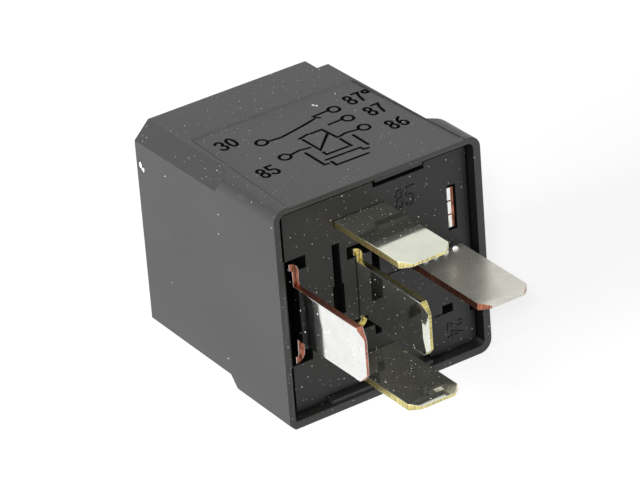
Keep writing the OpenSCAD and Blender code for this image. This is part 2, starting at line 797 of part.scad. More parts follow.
module core() {
    color(steel)
        translate([coil_x, 0, 0])
            rotate_extrude()
                polygon([[0, yoke_z], [spigot_r, yoke_z], [spigot_r, bobbin_z], [core_r, bobbin_z],
                    [core_r, flange_z], [pole_r, flange_z], [pole_r, pole_z], [0, pole_z]]);
}

// Tube, two flanges, and a lug on each side that steadies a coil terminal's tail.
module bobbin() {
    hole_w = tail_w + 2 * slot_gap;
    hole_t = blade_t + 2 * slot_gap;
    inner = core_r + core_gap;
    outer = inner + tube_wall;
    color("#c9a77a")
        difference() {
            union() {
                translate([coil_x, 0, 0])
                    rotate_extrude()
                        polygon([[inner, bobbin_z], [bobbin_r, bobbin_z], [bobbin_r, bobbin_z + flange_t],
                            [outer, bobbin_z + flange_t], [outer, flange_z - flange_t],
                            [bobbin_r, flange_z - flange_t], [bobbin_r, flange_z], [inner, flange_z]]);
                for (span = [[y_85 - blade_t, -core_r - lug_in], [core_r + lug_in, y_86 + blade_t]])
                    block([x_coil_pins - tail_w, span[0], bobbin_z],
                        [x_coil_pins + tail_w, span[1], bobbin_z + flange_t]);
            }
            for (y = [y_85, y_86])
                translate([x_coil_pins, y, bobbin_z + flange_t / 2])
                    cube([hole_w, hole_t, flange_t + past], center = true);
        }
}

// One layer of turns on show, over the solid of the layers beneath.
module winding() {
    turns = floor(winding_l / wire_d);
    pitch = winding_l / turns;
    groove = pitch / 4;
    color("#8a4a2a")
        translate([coil_x, 0, winding_z])
            rotate_extrude()
                polygon(concat(
                    [[winding_in, 0]],
                    [for (i = [0:turns - 1]) each [
                        [winding_r - groove, i * pitch],
                        [winding_r, (i + 0.25) * pitch],
                        [winding_r, (i + 0.75) * pitch]]],
                    [[winding_r - groove, winding_l], [winding_in, winding_l]]));
}

// A coil wire: up from the winding to its tail, then wrapped round it.
module coil_wire(y, side) {
    wrap_r = norm([tail_w, blade_t]) / 2 + wire_d / 2 + seat_gap;
    z = floor_z + wrap_z;
    off = winding_r + wire_d / 2 + wire_gap;
    start = [x_coil_pins, side * sqrt(pow(off, 2) - pow(x_coil_pins - coil_x, 2)), winding_z + wire_d];
    end = [x_coil_pins, y - side * wrap_r, z];
    color(copper) {
        rod(start, end, wire_d);
        translate(start) sphere(d = wire_d);
        for (i = [0:wrap_turns - 1])
            translate([x_coil_pins, y, z + i * wire_d])
                rotate_extrude() translate([wrap_r, 0]) circle(d = wire_d * wrap_overlap, $fn = 24);
    }
}

module coil_wire_85() {
    coil_wire(y_85, -1);
}

module coil_wire_86() {
    coil_wire(y_86, 1);
}

// ---- moving parts ----

module armature() {
    color(steel)
        difference() {
            block([armature_x, -yoke_w / 2, arm_z], [leaf_x - leaf_bend_r, yoke_w / 2, leaf_z - seat_gap]);
            for (s = [-1, 1])
                translate([coil_x, s * rivet_pitch / 2, arm_z - past])
                    cylinder(r = rivet_r + seat_gap, h = armature_t + 2 * past);
        }
}

// The leaf spring: over the armature, round the bend, down the yoke and into the base.
module contact_spring() {
    bend = leaf_bend_r + leaf_t;
    back = leaf_x + leaf_t;
    tip = contact_x - head_r - contact_rim;
    neck = armature_x + leaf_neck;
    color(copper)
        difference() {
            union() {
                translate([0, 0, leaf_z])
                    linear_extrude(leaf_t) {
                        translate([neck, -leaf_w / 2]) square([back - bend - neck, leaf_w]);
                        translate([tip, pins_y - leaf_tip_w / 2]) square([neck - tip + past, leaf_tip_w]);
                    }
                translate([0, leaf_w / 2, 0])
                    rotate([90, 0, 0])
                        linear_extrude(leaf_w)
                            intersection() {
                                translate([back - bend, leaf_top - bend])
                                    difference() {
                                        circle(bend);
                                        circle(leaf_bend_r);
                                    }
                                translate([back - bend, leaf_top - bend]) square([bend, bend]);
                            }
                block([leaf_x, -leaf_w / 2, floor_z + leaf_foot_z], [back, leaf_w / 2, leaf_top - bend]);
                block([leaf_x, -leaf_tail_y - leaf_tail_w / 2, face_z + leaf_tail_in],
                    [back, -leaf_tail_y + leaf_tail_w / 2, floor_z + leaf_foot_z + past]);
                // The strip is folded double inside the base
                block([tail_x, -leaf_tail_y - leaf_tail_w / 2, face_z + leaf_tail_in],
                    [back, -leaf_tail_y + leaf_tail_w / 2, floor_z]);
            }
            translate([contact_x, pins_y, leaf_z - past])
                cylinder(r = shank_r + seat_gap, h = leaf_t + 2 * past);
            for (s = [-1, 1]) {
                translate([coil_x, s * rivet_pitch / 2, leaf_z - past])
                    cylinder(r = rivet_r + seat_gap, h = leaf_t + 2 * past);
                translate([leaf_x - past, s * rivet_pitch / 2, rivet_z])
                    rotate([0, 90, 0]) cylinder(r = rivet_r + seat_gap, h = leaf_t + 2 * past);
            }
        }
}

// A contact head with slightly rounded rim, its flat at z = 0 and its crown towards +Z.
module contact_head() {
    edge = head_t / 3;
    rotate_extrude()
        polygon([[0, 0], [head_r, 0], [head_r, head_t - edge], [head_r - edge, head_t], [0, head_t]]);
}

module moving_contact() {
    color(silver)
        translate([contact_x, pins_y, 0]) {
            translate([0, 0, leaf_top]) contact_head();
            translate([0, 0, leaf_z]) mirror([0, 0, 1]) contact_head();
            translate([0, 0, leaf_z]) cylinder(r = shank_r, h = leaf_t);
        }
}

module contact_87() {
    color(silver)
        translate([contact_x, pins_y, seat_87_z]) {
            contact_head();
            translate([0, 0, -blade_t]) cylinder(r = shank_r, h = blade_t + slice);
        }
}

module contact_87a() {
    color(silver)
        translate([contact_x, pins_y, arm_87a_z]) {
            mirror([0, 0, 1]) contact_head();
            translate([0, 0, -slice]) cylinder(r = shank_r, h = blade_t + slice);
        }
}

// ---- rivets ----

// A rivet pointing down from z = 0, with its head above.
module rivet(length) {
    edge = rivet_head_t / 3;
    rotate_extrude()
        polygon([[0, -length], [rivet_r, -length], [rivet_r, 0], [rivet_head_r, 0],
            [rivet_head_r, rivet_head_t - edge], [rivet_head_r - edge, rivet_head_t], [0, rivet_head_t]]);
}

module yoke_rivets() {
    color(steel)
        for (s = [-1, 1])
            translate([leaf_x + leaf_t, s * rivet_pitch / 2, rivet_z])
                rotate([0, 90, 0]) rivet(leaf_t + seat_gap + yoke_t);
}

module armature_rivets() {
    color(steel)
        for (s = [-1, 1])
            translate([coil_x, s * rivet_pitch / 2, leaf_top]) rivet(leaf_t + armature_t);
}

// ---- diode across the coil ----

module diode_body() {
    color("#1b1b1d")
        translate([diode_x, pins_y + diode_l / 2, diode_axis_z])
            rotate([90, 0, 0])
                difference() {
                    cylinder(d = diode_d, h = diode_l);
                    for (z = [-past, diode_l - lead_in])
                        translate([0, 0, z]) cylinder(d = lead_d + 2 * seat_gap, h = lead_in + past);
                }
}

// Each lead runs along the diode's axis, then turns to lie against its coil terminal's tail.
module diode_leads() {
    tail_side = x_coil_pins + tail_w / 2;
    color(tin)
        for (s = [-1, 1]) {
            y = (s > 0 ? y_86 : y_85) - s * (blade_t / 2 + lead_d / 2 + seat_gap);
            inner = [diode_x, pins_y + s * (diode_l / 2 - lead_in), diode_axis_z];
            bend = [diode_x, y, diode_axis_z];
            rod(inner, bend, lead_d);
            translate(bend) sphere(d = lead_d);
            rod(bend, [tail_side, y, diode_axis_z], lead_d);
        }
}

// ---- placing ----

// From blades down to lying on the back face, with the origin under the middle.
module lay_down() {
    translate([0, -(case_l - blade_out) / 2, case_d / 2]) rotate([-90, 0, 0]) children();
}

lay_down() cap();
lay_down() base();
lay_down() terminal_30();
lay_down() terminal_85();
lay_down() terminal_86();
lay_down() terminal_87();
lay_down() terminal_87a();
lay_down() yoke();
lay_down() core();
lay_down() bobbin();
lay_down() winding();
lay_down() coil_wire_85();
lay_down() coil_wire_86();
lay_down() armature();
lay_down() contact_spring();
lay_down() moving_contact();
lay_down() contact_87();
lay_down() contact_87a();
lay_down() yoke_rivets();
lay_down() armature_rivets();
lay_down() diode_body();
lay_down() diode_leads();
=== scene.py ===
"""The looks of a five-blade changeover relay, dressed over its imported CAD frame.

The row frame is the CAD's: +Y runs from the blade tips to the closed end, +Z is the front face with
the circuit, +X is to the right when looking at the blades. Lengths typed here are millimetres, apart
from those of the lights, the floor and the camera's clipping, which are metres.
"""

import math

import bmesh
import bpy
from mathutils import Matrix, Vector
from mathutils.geometry import delaunay_2d_cdt


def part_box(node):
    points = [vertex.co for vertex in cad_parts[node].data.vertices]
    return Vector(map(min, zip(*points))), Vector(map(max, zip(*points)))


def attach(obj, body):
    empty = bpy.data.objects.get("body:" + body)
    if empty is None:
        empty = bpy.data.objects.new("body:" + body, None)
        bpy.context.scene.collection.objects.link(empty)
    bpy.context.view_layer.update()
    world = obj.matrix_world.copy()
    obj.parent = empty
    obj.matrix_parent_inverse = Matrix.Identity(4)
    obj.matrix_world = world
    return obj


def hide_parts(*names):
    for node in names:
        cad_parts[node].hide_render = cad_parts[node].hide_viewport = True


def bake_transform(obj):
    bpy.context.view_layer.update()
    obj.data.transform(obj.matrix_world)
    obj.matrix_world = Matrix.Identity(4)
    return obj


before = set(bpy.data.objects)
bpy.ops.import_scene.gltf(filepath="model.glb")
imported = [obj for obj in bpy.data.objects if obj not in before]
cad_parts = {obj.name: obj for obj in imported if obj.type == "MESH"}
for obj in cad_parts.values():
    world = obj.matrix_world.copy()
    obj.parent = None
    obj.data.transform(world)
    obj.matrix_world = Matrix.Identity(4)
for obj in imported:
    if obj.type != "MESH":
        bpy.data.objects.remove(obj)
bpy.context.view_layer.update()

MM = 0.001
CAP_LOW, CAP_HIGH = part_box("cap")
BASE_LOW, BASE_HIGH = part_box("base")
MIDDLE = (CAP_LOW + CAP_HIGH) / 2
RIM_Y = CAP_LOW.y
FRONT_Z = CAP_HIGH.z


def place(x, depth, height):
    """A point from millimetres to the right of the middle, behind the rim and above the middle."""
    return Vector((MIDDLE.x + x * MM, RIM_Y + depth * MM, MIDDLE.z + height * MM))


# ---- materials ----


class Shader:
    """A material whose node tree is built one node at a time."""

    def __init__(self, name):
        self.material = bpy.data.materials.new(name)
        self.material.use_nodes = True
        self.tree = self.material.node_tree
        self.tree.nodes.clear()
        self.output = self.tree.nodes.new("ShaderNodeOutputMaterial")

    def node(self, kind, inputs=None, **settings):
        """Adds a node; inputs takes values, or sockets to link."""
        made = self.tree.nodes.new("ShaderNode" + kind)
        for key, value in settings.items():
            setattr(made, key, value)
        for key, value in (inputs or {}).items():
            if isinstance(value, bpy.types.NodeSocket):
                self.tree.links.new(value, made.inputs[key])
            else:
                made.inputs[key].default_value = value
        return made

    def math(self, operation, a, b=0.0):
        """The result of one operation on two values or sockets."""
        return self.node("Math", {0: a, 1: b}, operation=operation).outputs[0]

    def ramp(self, value, low, high, to_low=0.0, to_high=1.0):
        """Maps low..high smoothly onto to_low..to_high."""
        inputs = {"Value": value, "From Min": low, "From Max": high, "To Min": to_low, "To Max": to_high}
        return self.node("MapRange", inputs, interpolation_type="SMOOTHSTEP").outputs["Result"]

    def grid(self, stretch=(1, 1, 1), turn=(0, 0, 0), shift=(0, 0, 0)):
        """Object coordinates in millimetres, turned by degrees and then stretched."""
        source = self.node("TexCoord").outputs["Object"]
        turned = self.node("Mapping", {"Vector": source, "Rotation": [math.radians(a) for a in turn]})
        scale = [s / MM for s in stretch]
        sized = self.node("Mapping", {"Vector": turned.outputs[0], "Scale": scale, "Location": shift})
        return sized.outputs[0]

    def noise(self, per_mm, detail=3.0, roughness=0.5, **grid):
        """Noise with the given number of waves in a millimetre."""
        inputs = {"Vector": self.grid(**grid), "Scale": per_mm, "Detail": detail, "Roughness": roughness}
        return self.node("TexNoise", inputs).outputs["Fac"]

    def specks(self, per_mm, radius, share, soft=0.5, **grid):
        """A mask of scattered specks: radius is in cells, share is the part of the cells that have one."""
        cells = self.node("TexVoronoi", {"Vector": self.grid(**grid), "Scale": per_mm})
        inside = self.ramp(cells.outputs["Distance"], radius, radius * soft)
        pick = self.node("SeparateColor", {0: cells.outputs["Color"]}).outputs[0]
        return self.math("MULTIPLY", inside, self.math("LESS_THAN", pick, share))

    def most(self, *masks):
        """The largest of several masks."""
        total = masks[0]
        for mask in masks[1:]:
            total = self.math("MAXIMUM", total, mask)
        return total

    def blend(self, mask, a, b):
        """A colour that is a where the mask is 0 and b where it is 1."""
        mix = self.node("Mix", {0: mask, 6: a, 7: b}, data_type="RGBA")
        return mix.outputs[2]

    def bump(self, height, strength, depth_mm, under=None):
        """A fine relief in the normals, laid over the one that is given as under."""
        inputs = {"Height": height, "Strength": strength, "Distance": depth_mm * MM}
        if under is not None:
            inputs["Normal"] = under
        return self.node("Bump", inputs).outputs[0]

    def finish(self, **inputs):
        """Ends the tree in a principled surface; an underscore stands for a space in a socket's name."""
        surface = self.node("BsdfPrincipled", {key.replace("_", " "): v for key, v in inputs.items()})
        self.tree.links.new(surface.outputs[0], self.output.inputs["Surface"])
        return self.material


def grey(level, warmth=0.0):
    """A grey, or one that leans to red where warmth is above 0."""
    return (level * (1 + warmth), level, level * (1 - warmth), 1.0)


def dusty(shader, amount, size=1.0):
    """White dust: round grains of two sizes and a few short fibres."""
    grains = shader.specks(1.1, 0.085 * size, 0.5 * amount)
    fine = shader.specks(2.6, 0.13 * size, 0.3 * amount, shift=(7, 3, 1))
    along_y = {"stretch": (0.16, 0.9, 0.9), "turn": (0, 0, 38), "shift": (2, 9, 4)}
    along_x = {"stretch": (0.9, 0.14, 0.9), "turn": (0, 0, 24), "shift": (5, 1, 8)}
    fibres = shader.specks(1.0, 0.07, 0.2 * amount, **along_y)
    hairs = shader.specks(1.0, 0.05, 0.18 * amount, **along_x)
    return shader.most(grains, fine, fibres, hairs)


def flake(shader, centre, size_mm):
    """One larger flake of dust at a point, in metres."""
    here = shader.node("TexCoord").outputs["Object"]
    away = shader.node("VectorMath", {0: here, 1: centre}, operation="DISTANCE")
    ragged = shader.math("MULTIPLY", shader.noise(3.0, detail=3.0), size_mm * MM)
    return shader.math("LESS_THAN", away.outputs["Value"], ragged)


def moulded_plastic(name, level, roughness, dust, shine=0.5, flakes=()):
    """Black moulded plastic: a fine grain, faint flow marks, light scuffs and dust."""
    shader = Shader(name)
    flow = shader.noise(0.09, detail=2.0, stretch=(1, 0.5, 1))
    grain = shader.noise(9.0, detail=4.0, roughness=0.6)
    scratches = shader.noise(1.2, detail=5.0, stretch=(0.2, 1.5, 1.5), turn=(0, 0, 31))
    scuffs = shader.ramp(scratches, 0.66, 0.74)
    plain = shader.blend(shader.ramp(flow, 0.3, 0.7), grey(level * 0.85), grey(level * 1.15))
    scuffed = shader.blend(shader.math("MULTIPLY", scuffs, 0.25), plain, grey(level * 4))
    specks = shader.most(dusty(shader, dust), *[flake(shader, centre, size) for centre, size in flakes])
    colour = shader.blend(shader.math("MULTIPLY", specks, 0.9), scuffed, grey(0.95, 0.02))
    rough = shader.ramp(grain, 0.3, 0.7, roughness - 0.05, roughness + 0.06)
    grained = shader.bump(grain, 0.35, 0.012)
    dusted = shader.bump(specks, 0.6, 0.03, under=grained)
    return shader.finish(Base_Color=colour, Roughness=rough, Normal=dusted, Specular_IOR_Level=shine)


def painted_shade():
    """Painted shade: near-black plastic for lines, gaps and pockets, where next to no light reaches."""
    shader = Shader("painted_shade_black")
    grain = shader.noise(6.0)
    colour = shader.blend(shader.ramp(grain, 0.4, 0.8), grey(0.002), grey(0.008))
    return shader.finish(Base_Color=colour, Roughness=0.9, Specular_IOR_Level=0.07)


def plated_tin(name, tint, roughness, dust, along, pitted=0.0, smeared=0.06, haze=0.0):
    """Bright tin over strip: rolling lines along the strip, faint smears, small pits, dust and a haze."""
    shader = Shader(name)
    lines = shader.noise(1.0, detail=4.0, stretch=along)
    smears = shader.noise(0.45, detail=3.0, roughness=0.6, shift=(3, 1, 2))
    pits = shader.specks(2.3, 0.12, 0.1 + 0.3 * pitted, shift=(1, 6, 2))
    dull = tuple(c * (1 - smeared) for c in tint) + (1.0,)
    colour = shader.blend(shader.ramp(smears, 0.4, 0.7), tint + (1.0,), dull)
    streaks = shader.ramp(lines, 0.62, 0.72)
    colour = shader.blend(shader.math("MULTIPLY", streaks, smeared * 2), colour, grey(0.3, 0.05))
    colour = shader.blend(shader.math("MULTIPLY", pits, 0.75), colour, grey(0.1, 0.05))
    specks = dusty(shader, dust, 1.35)
    colour = shader.blend(specks, colour, grey(0.95, 0.02))
    rough = shader.ramp(smears, 0.35, 0.75, roughness * 0.85, roughness * 1.2)
    rolled = shader.bump(lines, 0.03, 0.01)
    metal = shader.math("SUBTRACT", 1.0 - haze, specks)
    return shader.finish(Base_Color=colour, Metallic=metal, Roughness=rough, Normal=rolled)


def sheared_metal(name, tint, roughness, across, darkest=0.35):
    """The cut edge of strip: bare metal with shear streaks across its thickness; with a low darkest and a
    dark tint, the streaks become painted reflection on the bends by the base.
    """
    shader = Shader(name)
    streaks = shader.noise(1.0, detail=4.0, roughness=0.65, stretch=across)
    dark = tuple(c * darkest for c in tint) + (1.0,)
    light = tuple(min(1.0, c * 1.2) for c in tint) + (1.0,)
    colour = shader.blend(shader.ramp(streaks, 0.3, 0.68), dark, light)
    rough = shader.ramp(streaks, 0.3, 0.7, roughness * 1.4, roughness * 0.8)
    torn = shader.bump(streaks, 0.3, 0.03)
    return shader.finish(Base_Color=colour, Metallic=1.0, Roughness=rough, Normal=torn)


def plain_metal(name, tint, roughness, along=(6, 0.6, 6)):
    """Plated or rolled metal inside the relay: fine brushed lines and soft stains."""
    shader = Shader(name)
    lines = shader.noise(1.0, detail=3.0, stretch=along)
    stains = shader.noise(0.5, detail=3.0)
    dull = tuple(c * 0.7 for c in tint) + (1.0,)
    colour = shader.blend(shader.ramp(stains, 0.4, 0.75), tint + (1.0,), dull)
    rough = shader.ramp(lines, 0.3, 0.7, roughness * 0.8, roughness * 1.25)
    brushed = shader.bump(lines, 0.15, 0.02)
    return shader.finish(Base_Color=colour, Metallic=1.0, Roughness=rough, Normal=brushed)


def wire_enamel():
    """Lacquered copper wire: a metal under a clear amber coat."""
    shader = Shader("wire_enamel")
    shade = shader.noise(0.8, detail=3.0)
    colour = shader.blend(shader.ramp(shade, 0.3, 0.7), (0.42, 0.13, 0.05, 1), (0.62, 0.24, 0.09, 1))
    coat = {"Coat_Weight": 0.6, "Coat_Roughness": 0.15}
    return shader.finish(Base_Color=colour, Metallic=0.85, Roughness=0.3, **coat)


def bobbin_nylon():
    """Glass-filled nylon in a natural tan."""
    shader = Shader("bobbin_nylon")
    fibres = shader.noise(5.0, detail=4.0, stretch=(1, 0.4, 1))
    colour = shader.blend(shader.ramp(fibres, 0.3, 0.7), (0.52, 0.38, 0.2, 1), (0.62, 0.47, 0.27, 1))
    return shader.finish(Base_Color=colour, Roughness=0.5, Normal=shader.bump(fibres, 0.2, 0.02))


def diode_epoxy():
    """The diode's black epoxy with a pale band at one end."""
    shader = Shader("diode_epoxy_body")
    low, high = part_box("diode_body")
    # The diode lies along Z, so its band is a span of Z.
    height = shader.node("SeparateXYZ", {0: shader.node("TexCoord").outputs["Object"]}).outputs[2]
    start = high.z - (high.z - low.z) * 0.28
    end = high.z - (high.z - low.z) * 0.1
    above = shader.math("GREATER_THAN", height, start)
    below = shader.math("LESS_THAN", height, end)
    band = shader.math("MULTIPLY", above, below)
    grain = shader.noise(7.0)
    body = shader.blend(grain, grey(0.012), grey(0.02))
    colour = shader.blend(band, body, grey(0.55))
    return shader.finish(Base_Color=colour, Roughness=0.42, Normal=shader.bump(grain, 0.2, 0.01))


# ---- meshes ----

# Points closer than this (in metres) are one point
MERGE = 2e-7
# Faces that turn less than this are one face; cuts closer than ON_PLANE (in metres) take the old point
FLAT_ANGLE = math.radians(0.5)
ON_PLANE = 1e-7
# Points of an outline that are closer than this (in millimetres) are one point
SAME_POINT = 1e-6


def cad_mesh(node):
    """A working copy of a CAD node's mesh, with its flat faces made whole."""
    mesh = bmesh.new()
    mesh.from_mesh(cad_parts[node].data)
    bmesh.ops.remove_doubles(mesh, verts=mesh.verts, dist=MERGE)
    bmesh.ops.dissolve_limit(mesh, angle_limit=FLAT_ANGLE, verts=mesh.verts, edges=mesh.edges)
    mesh.normal_update()
    return mesh


def cut_across(mesh, point, axis):
    """Cuts the faces along the plane through the point that looks along the axis."""
    geom = mesh.verts[:] + mesh.edges[:] + mesh.faces[:]
    normal = Vector([1.0 if i == axis else 0.0 for i in range(3)])
    bmesh.ops.bisect_plane(mesh, geom=geom, dist=ON_PLANE, plane_co=point, plane_no=normal)


def round_edges(mesh, width_mm, keep=lambda edge: True, sharp=25, segments=2, clamp=True):
    """Rounds the sharp edges that keep() chooses."""
    limit = math.radians(sharp)
    edges = [e for e in mesh.edges if len(e.link_faces) == 2 and e.calc_face_angle(0) > limit and keep(e)]
    bmesh.ops.bevel(mesh, geom=edges, offset=width_mm * MM, offset_type="OFFSET", segments=segments,
                    profile=0.5, affect="EDGES", clamp_overlap=clamp)
    mesh.normal_update()


def make_object(name, mesh, materials, smooth=35):
    """Turns a working mesh into an object, with a sharp break where faces meet at an angle."""
    data = bpy.data.meshes.new(name)
    for face in mesh.faces:
        face.smooth = True
    for edge in mesh.edges:
        edge.smooth = len(edge.link_faces) == 2 and edge.calc_face_angle(0) < math.radians(smooth)
    mesh.to_mesh(data)
    mesh.free()
    for material in materials:
        data.materials.append(material)
    made = bpy.data.objects.new(name, data)
    bpy.context.scene.collection.objects.link(made)
    return weigh_normals(made)


def weigh_normals(made):
    """Lets the large flat faces decide the normals, so that only the rounded edges look round."""
    step = made.modifiers.new("weigh", "WEIGHTED_NORMAL")
    step.keep_sharp = True
    bpy.context.view_layer.update()
    plain = made.data
    weighed = bpy.data.meshes.new_from_object(made.evaluated_get(bpy.context.evaluated_depsgraph_get()))
    made.modifiers.clear()
    made.data = weighed
    bpy.data.meshes.remove(plain)
    return made


def dress(node, mesh, materials, body="root", name=None):
    """Puts a finished mesh in the place of its CAD node."""
    made = make_object(name or node + "_look", mesh, materials)
    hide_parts(node)
    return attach(made, body)


def leftwards(line):
    """The same outline with its points in the order that keeps its inside on the left."""
    area = sum(a[0] * b[1] - b[0] * a[1] for a, b in zip(line, line[1:] + line[:1]))
    return line if area > 0 else line[::-1]


def plane_of(face, axis, wide):
    """A function that turns two coordinates in millimetres into a point on the face's plane or over it."""
    normal, origin = face.normal.copy(), face.verts[0].co.copy()

    def lift(point, height):
        co = origin.copy()
        for i, value in zip(wide, point):
            co[i] = value * MM
        slip = sum(normal[i] * (co[i] - origin[i]) for i in wide)
        co[axis] = origin[axis] - slip / normal[axis]
        return co + normal * height

    return lift


def add_outlines(points, shapes, outlines):
    """Adds outlines to the points and the shapes; returns the shapes in which a slope has ended."""
    inner = set()
    for pair in outlines:
        for line in map(leftwards, pair):
            shapes.append(list(range(len(points), len(points) + len(line))))
            points += [Vector(p) for p in line]
        inner.add(len(shapes) - 1)
    return inner


def drop_loose(mesh):
    """Deletes the edges and points that no face uses."""
    bmesh.ops.delete(mesh, geom=[e for e in mesh.edges if not e.link_faces], context="EDGES")
    bmesh.ops.delete(mesh, geom=[v for v in mesh.verts if not v.link_faces], context="VERTS")
    mesh.normal_update()


def relief(mesh, faces, axis, outlines, rise_mm, slot, top_slot=None):
    """Presses outlines into flat faces, or out of them.

    axis is the one that the faces look along. Each outline is a pair in millimetres: where its slope
    starts and where it ends. rise_mm is the height that it reaches. Its faces get the material slot,
    or top_slot where they are flat again.
    """
    wide = [i for i in range(3) if i != axis]
    normal, lift = faces[0].normal.copy(), plane_of(faces[0], axis, wide)
    corners = list(dict.fromkeys(v for face in faces for v in face.verts))
    index = {v: i for i, v in enumerate(corners)}
    points = [Vector([v.co[i] / MM for i in wide]) for v in corners]
    shapes = [[index[v] for v in face.verts] for face in faces]
    plain = len(shapes)
    inner = add_outlines(points, shapes, outlines)
    flat, _, cells, came_from, _, parents = delaunay_2d_cdt(points, [], shapes, 1, SAME_POINT, True)
    kept = [(cell, set(parent)) for cell, parent in zip(cells, parents) if any(p < plain for p in parent)]
    raised = {v for cell, parent in kept if inner & parent for v in cell}
    bmesh.ops.delete(mesh, geom=faces, context="FACES_ONLY")
    made = []
    for i, point in enumerate(flat):
        old = [corners[k] for k in came_from[i] if k < len(corners)]
        height = rise_mm * MM if i in raised else 0.0
        made.append(old[0] if old and not height else mesh.verts.new(lift(point, height)))
    for cell, parent in kept:
        face = mesh.faces.new([made[k] for k in cell])
        face.normal_update()
        if face.normal.dot(normal) < 0:
            face.normal_flip()
        face.material_index = slot if any(p >= plain for p in parent) else 0
        if top_slot is not None and inner & parent:
            face.material_index = top_slot
    drop_loose(mesh)


# ---- drawn lines: the circuit and the plain numbers ----


def arc(cx, cy, rx, ry, start, end, steps=10):
    """Points along part of an ellipse, by degrees."""
    turns = [math.radians(start + (end - start) * i / steps) for i in range(steps + 1)]
    return [(cx + rx * math.cos(t), cy + ry * math.sin(t)) for t in turns]


# Each figure is a list of strokes in a box 1 wide and 2 high
FIGURES = {
    "0": [arc(0.5, 1.0, 0.46, 0.96, 100, 262), arc(0.5, 1.0, 0.46, 0.96, -82, 80)],
    "2": [arc(0.5, 1.5, 0.45, 0.5, 165, -30) + [(0.05, 0.0), (1.0, 0.0)]],
    "3": [arc(0.45, 1.5, 0.45, 0.46, 160, -75), arc(0.45, 0.5, 0.5, 0.5, 70, -165)],
    "4": [[(0.75, 2.0), (0.75, 0.0)], [(0.7, 2.0), (0.0, 0.6), (1.0, 0.6)]],
    "5": [[(0.95, 2.0), (0.12, 2.0), (0.08, 1.2)], arc(0.45, 0.58, 0.5, 0.58, 115, -155)],
    "6": [arc(1.0, 0.6, 0.95, 1.4, 100, 175), arc(0.5, 0.52, 0.45, 0.52, 150, -160, 14)],
    "7": [[(0.0, 2.0), (0.95, 2.0), (0.62, 1.3)], [(0.55, 1.05), (0.35, 0.0)]],
    "8": [arc(0.5, 1.52, 0.4, 0.46, 200, -110, 14), arc(0.5, 0.5, 0.47, 0.5, 155, -165, 14)],
    "a": [arc(0.45, 0.55, 0.42, 0.5, 60, 300, 12), [(0.92, 1.05), (0.92, 0.0)]],
}

# The step to the next figure as a share of the height, and how narrow a figure is beside its box
PITCH, NARROWING = 0.62, 0.85
# The size of the letter a beside a figure, and the share of its box that it fills
SMALL_LETTER, LETTER_TOP = 0.72, 0.55
NUMBER_HEIGHT = 2.0


def figure_strokes(text, x, y, height):
    """The strokes of plain numbers; x, y is the lower left corner of the first."""
    unit = height / 2
    strokes = []
    for index, letter in enumerate(text):
        size = unit * SMALL_LETTER if letter == "a" else unit
        left = x + index * PITCH * height
        bottom = y + (height - 2 * size * LETTER_TOP if letter == "a" else 0)
        for figure in FIGURES[letter]:
            strokes.append([(left + px * size * NARROWING, bottom + py * size) for px, py in figure])
    return strokes


def ribbon(points, width):
    """The outline of a line with a constant width and rounded ends."""
    half = width / 2
    path = [Vector(p) for p in points]
    sides = ([], [])
    for i, p in enumerate(path):
        before = (p - path[i - 1]).normalized() if i else (path[1] - p).normalized()
        after = (path[i + 1] - p).normalized() if i + 1 < len(path) else before
        along = (before + after).normalized()
        miter = min(1 / max(along.dot(before), 0.3), 2.0)
        normal = Vector((-along.y, along.x)) * half * miter
        sides[0].append(p + normal)
        sides[1].append(p - normal)

    def cap_round(centre, outward):
        angle = math.atan2(outward.y, outward.x)
        turns = [angle + math.pi / 2 - math.pi * k / 5 for k in range(1, 5)]
        return [centre + half * Vector((math.cos(t), math.sin(t))) for t in turns]

    end = cap_round(path[-1], (path[-1] - path[-2]).normalized())
    start = cap_round(path[0], (path[0] - path[1]).normalized())
    return sides[0] + end + sides[1][::-1] + start


def drawn(strokes, width, slope):
    """The outlines of strokes for relief(): width is taken halfway down the slope."""
    return [(ribbon(stroke, width + slope), ribbon(stroke, width - slope)) for stroke in strokes]


def circuit_strokes():
    """The changeover relay's circuit with its diode and coil, in (x, depth behind the rim)."""
    strokes = []
    # The rings of 30, 87a, 87, 86 and 85, each in two arcs
    for x, y in ((-5.0, 14.0), (5.0, 15.2), (4.95, 12.5), (5.0, 9.6), (-5.0, 9.6)):
        strokes += [arc(x, y, 0.62, 0.66, 8, 178), arc(x, y, 0.62, 0.66, 200, 340)]
    strokes += [
        # The armature, from 30 to its rest on 87a, and the leads of 87a and 87
        [(-4.4, 13.8), (-2.8, 13.6), (0.3, 14.25), (2.15, 14.75)],
        [(2.45, 14.95), (2.8, 14.6)],
        [(4.3, 15.4), (2.4, 15.3)],
        [(4.25, 12.7), (2.6, 12.6)],
        # The leads of 86 and 85
        [(4.3, 9.6), (2.8, 9.85), (1.85, 9.6)],
        [(-4.35, 9.6), (-3.0, 9.85), (-1.85, 9.6)],
        # The diode: its box, its triangle and its bar
        [(-1.6, 12.0), (-0.3, 12.3)],
        [(0.0, 12.2), (1.4, 12.2), (1.6, 9.6)],
        [(-1.4, 11.6), (-1.35, 8.4), (1.3, 11.0)],
        [(-1.4, 7.8), (-1.4, 7.15), (1.3, 7.1)],
        [(1.63, 9.1), (1.63, 7.0)],
        # The coil: its two sides and its box
        [(3.14, 8.9), (3.1, 6.1)],
        [(-2.9, 8.9), (-2.9, 5.4), (-2.4, 5.3)],
        [(-2.2, 6.15), (0.2, 6.1)],
        [(0.5, 6.1), (2.05, 6.05), (2.15, 5.5), (2.7, 5.4)],
        [(-1.95, 5.5), (-2.0, 4.5), (2.0, 4.45)],
    ]
    numbers = (
        ("30", -9.0, 15.2),
        ("85", -9.2, 7.1),
        ("87a", 7.05, 14.8),
        ("87", 7.2, 11.2),
        ("86", 7.1, 7.1),
    )
    for number, x, y in numbers:
        strokes += figure_strokes(number, x, y, NUMBER_HEIGHT)
    return strokes


# ---- the case ----

# Material slots of the case and the base: the plain plastic, and the near-black of painted shade
PLAIN, UNLIT = 0, 1

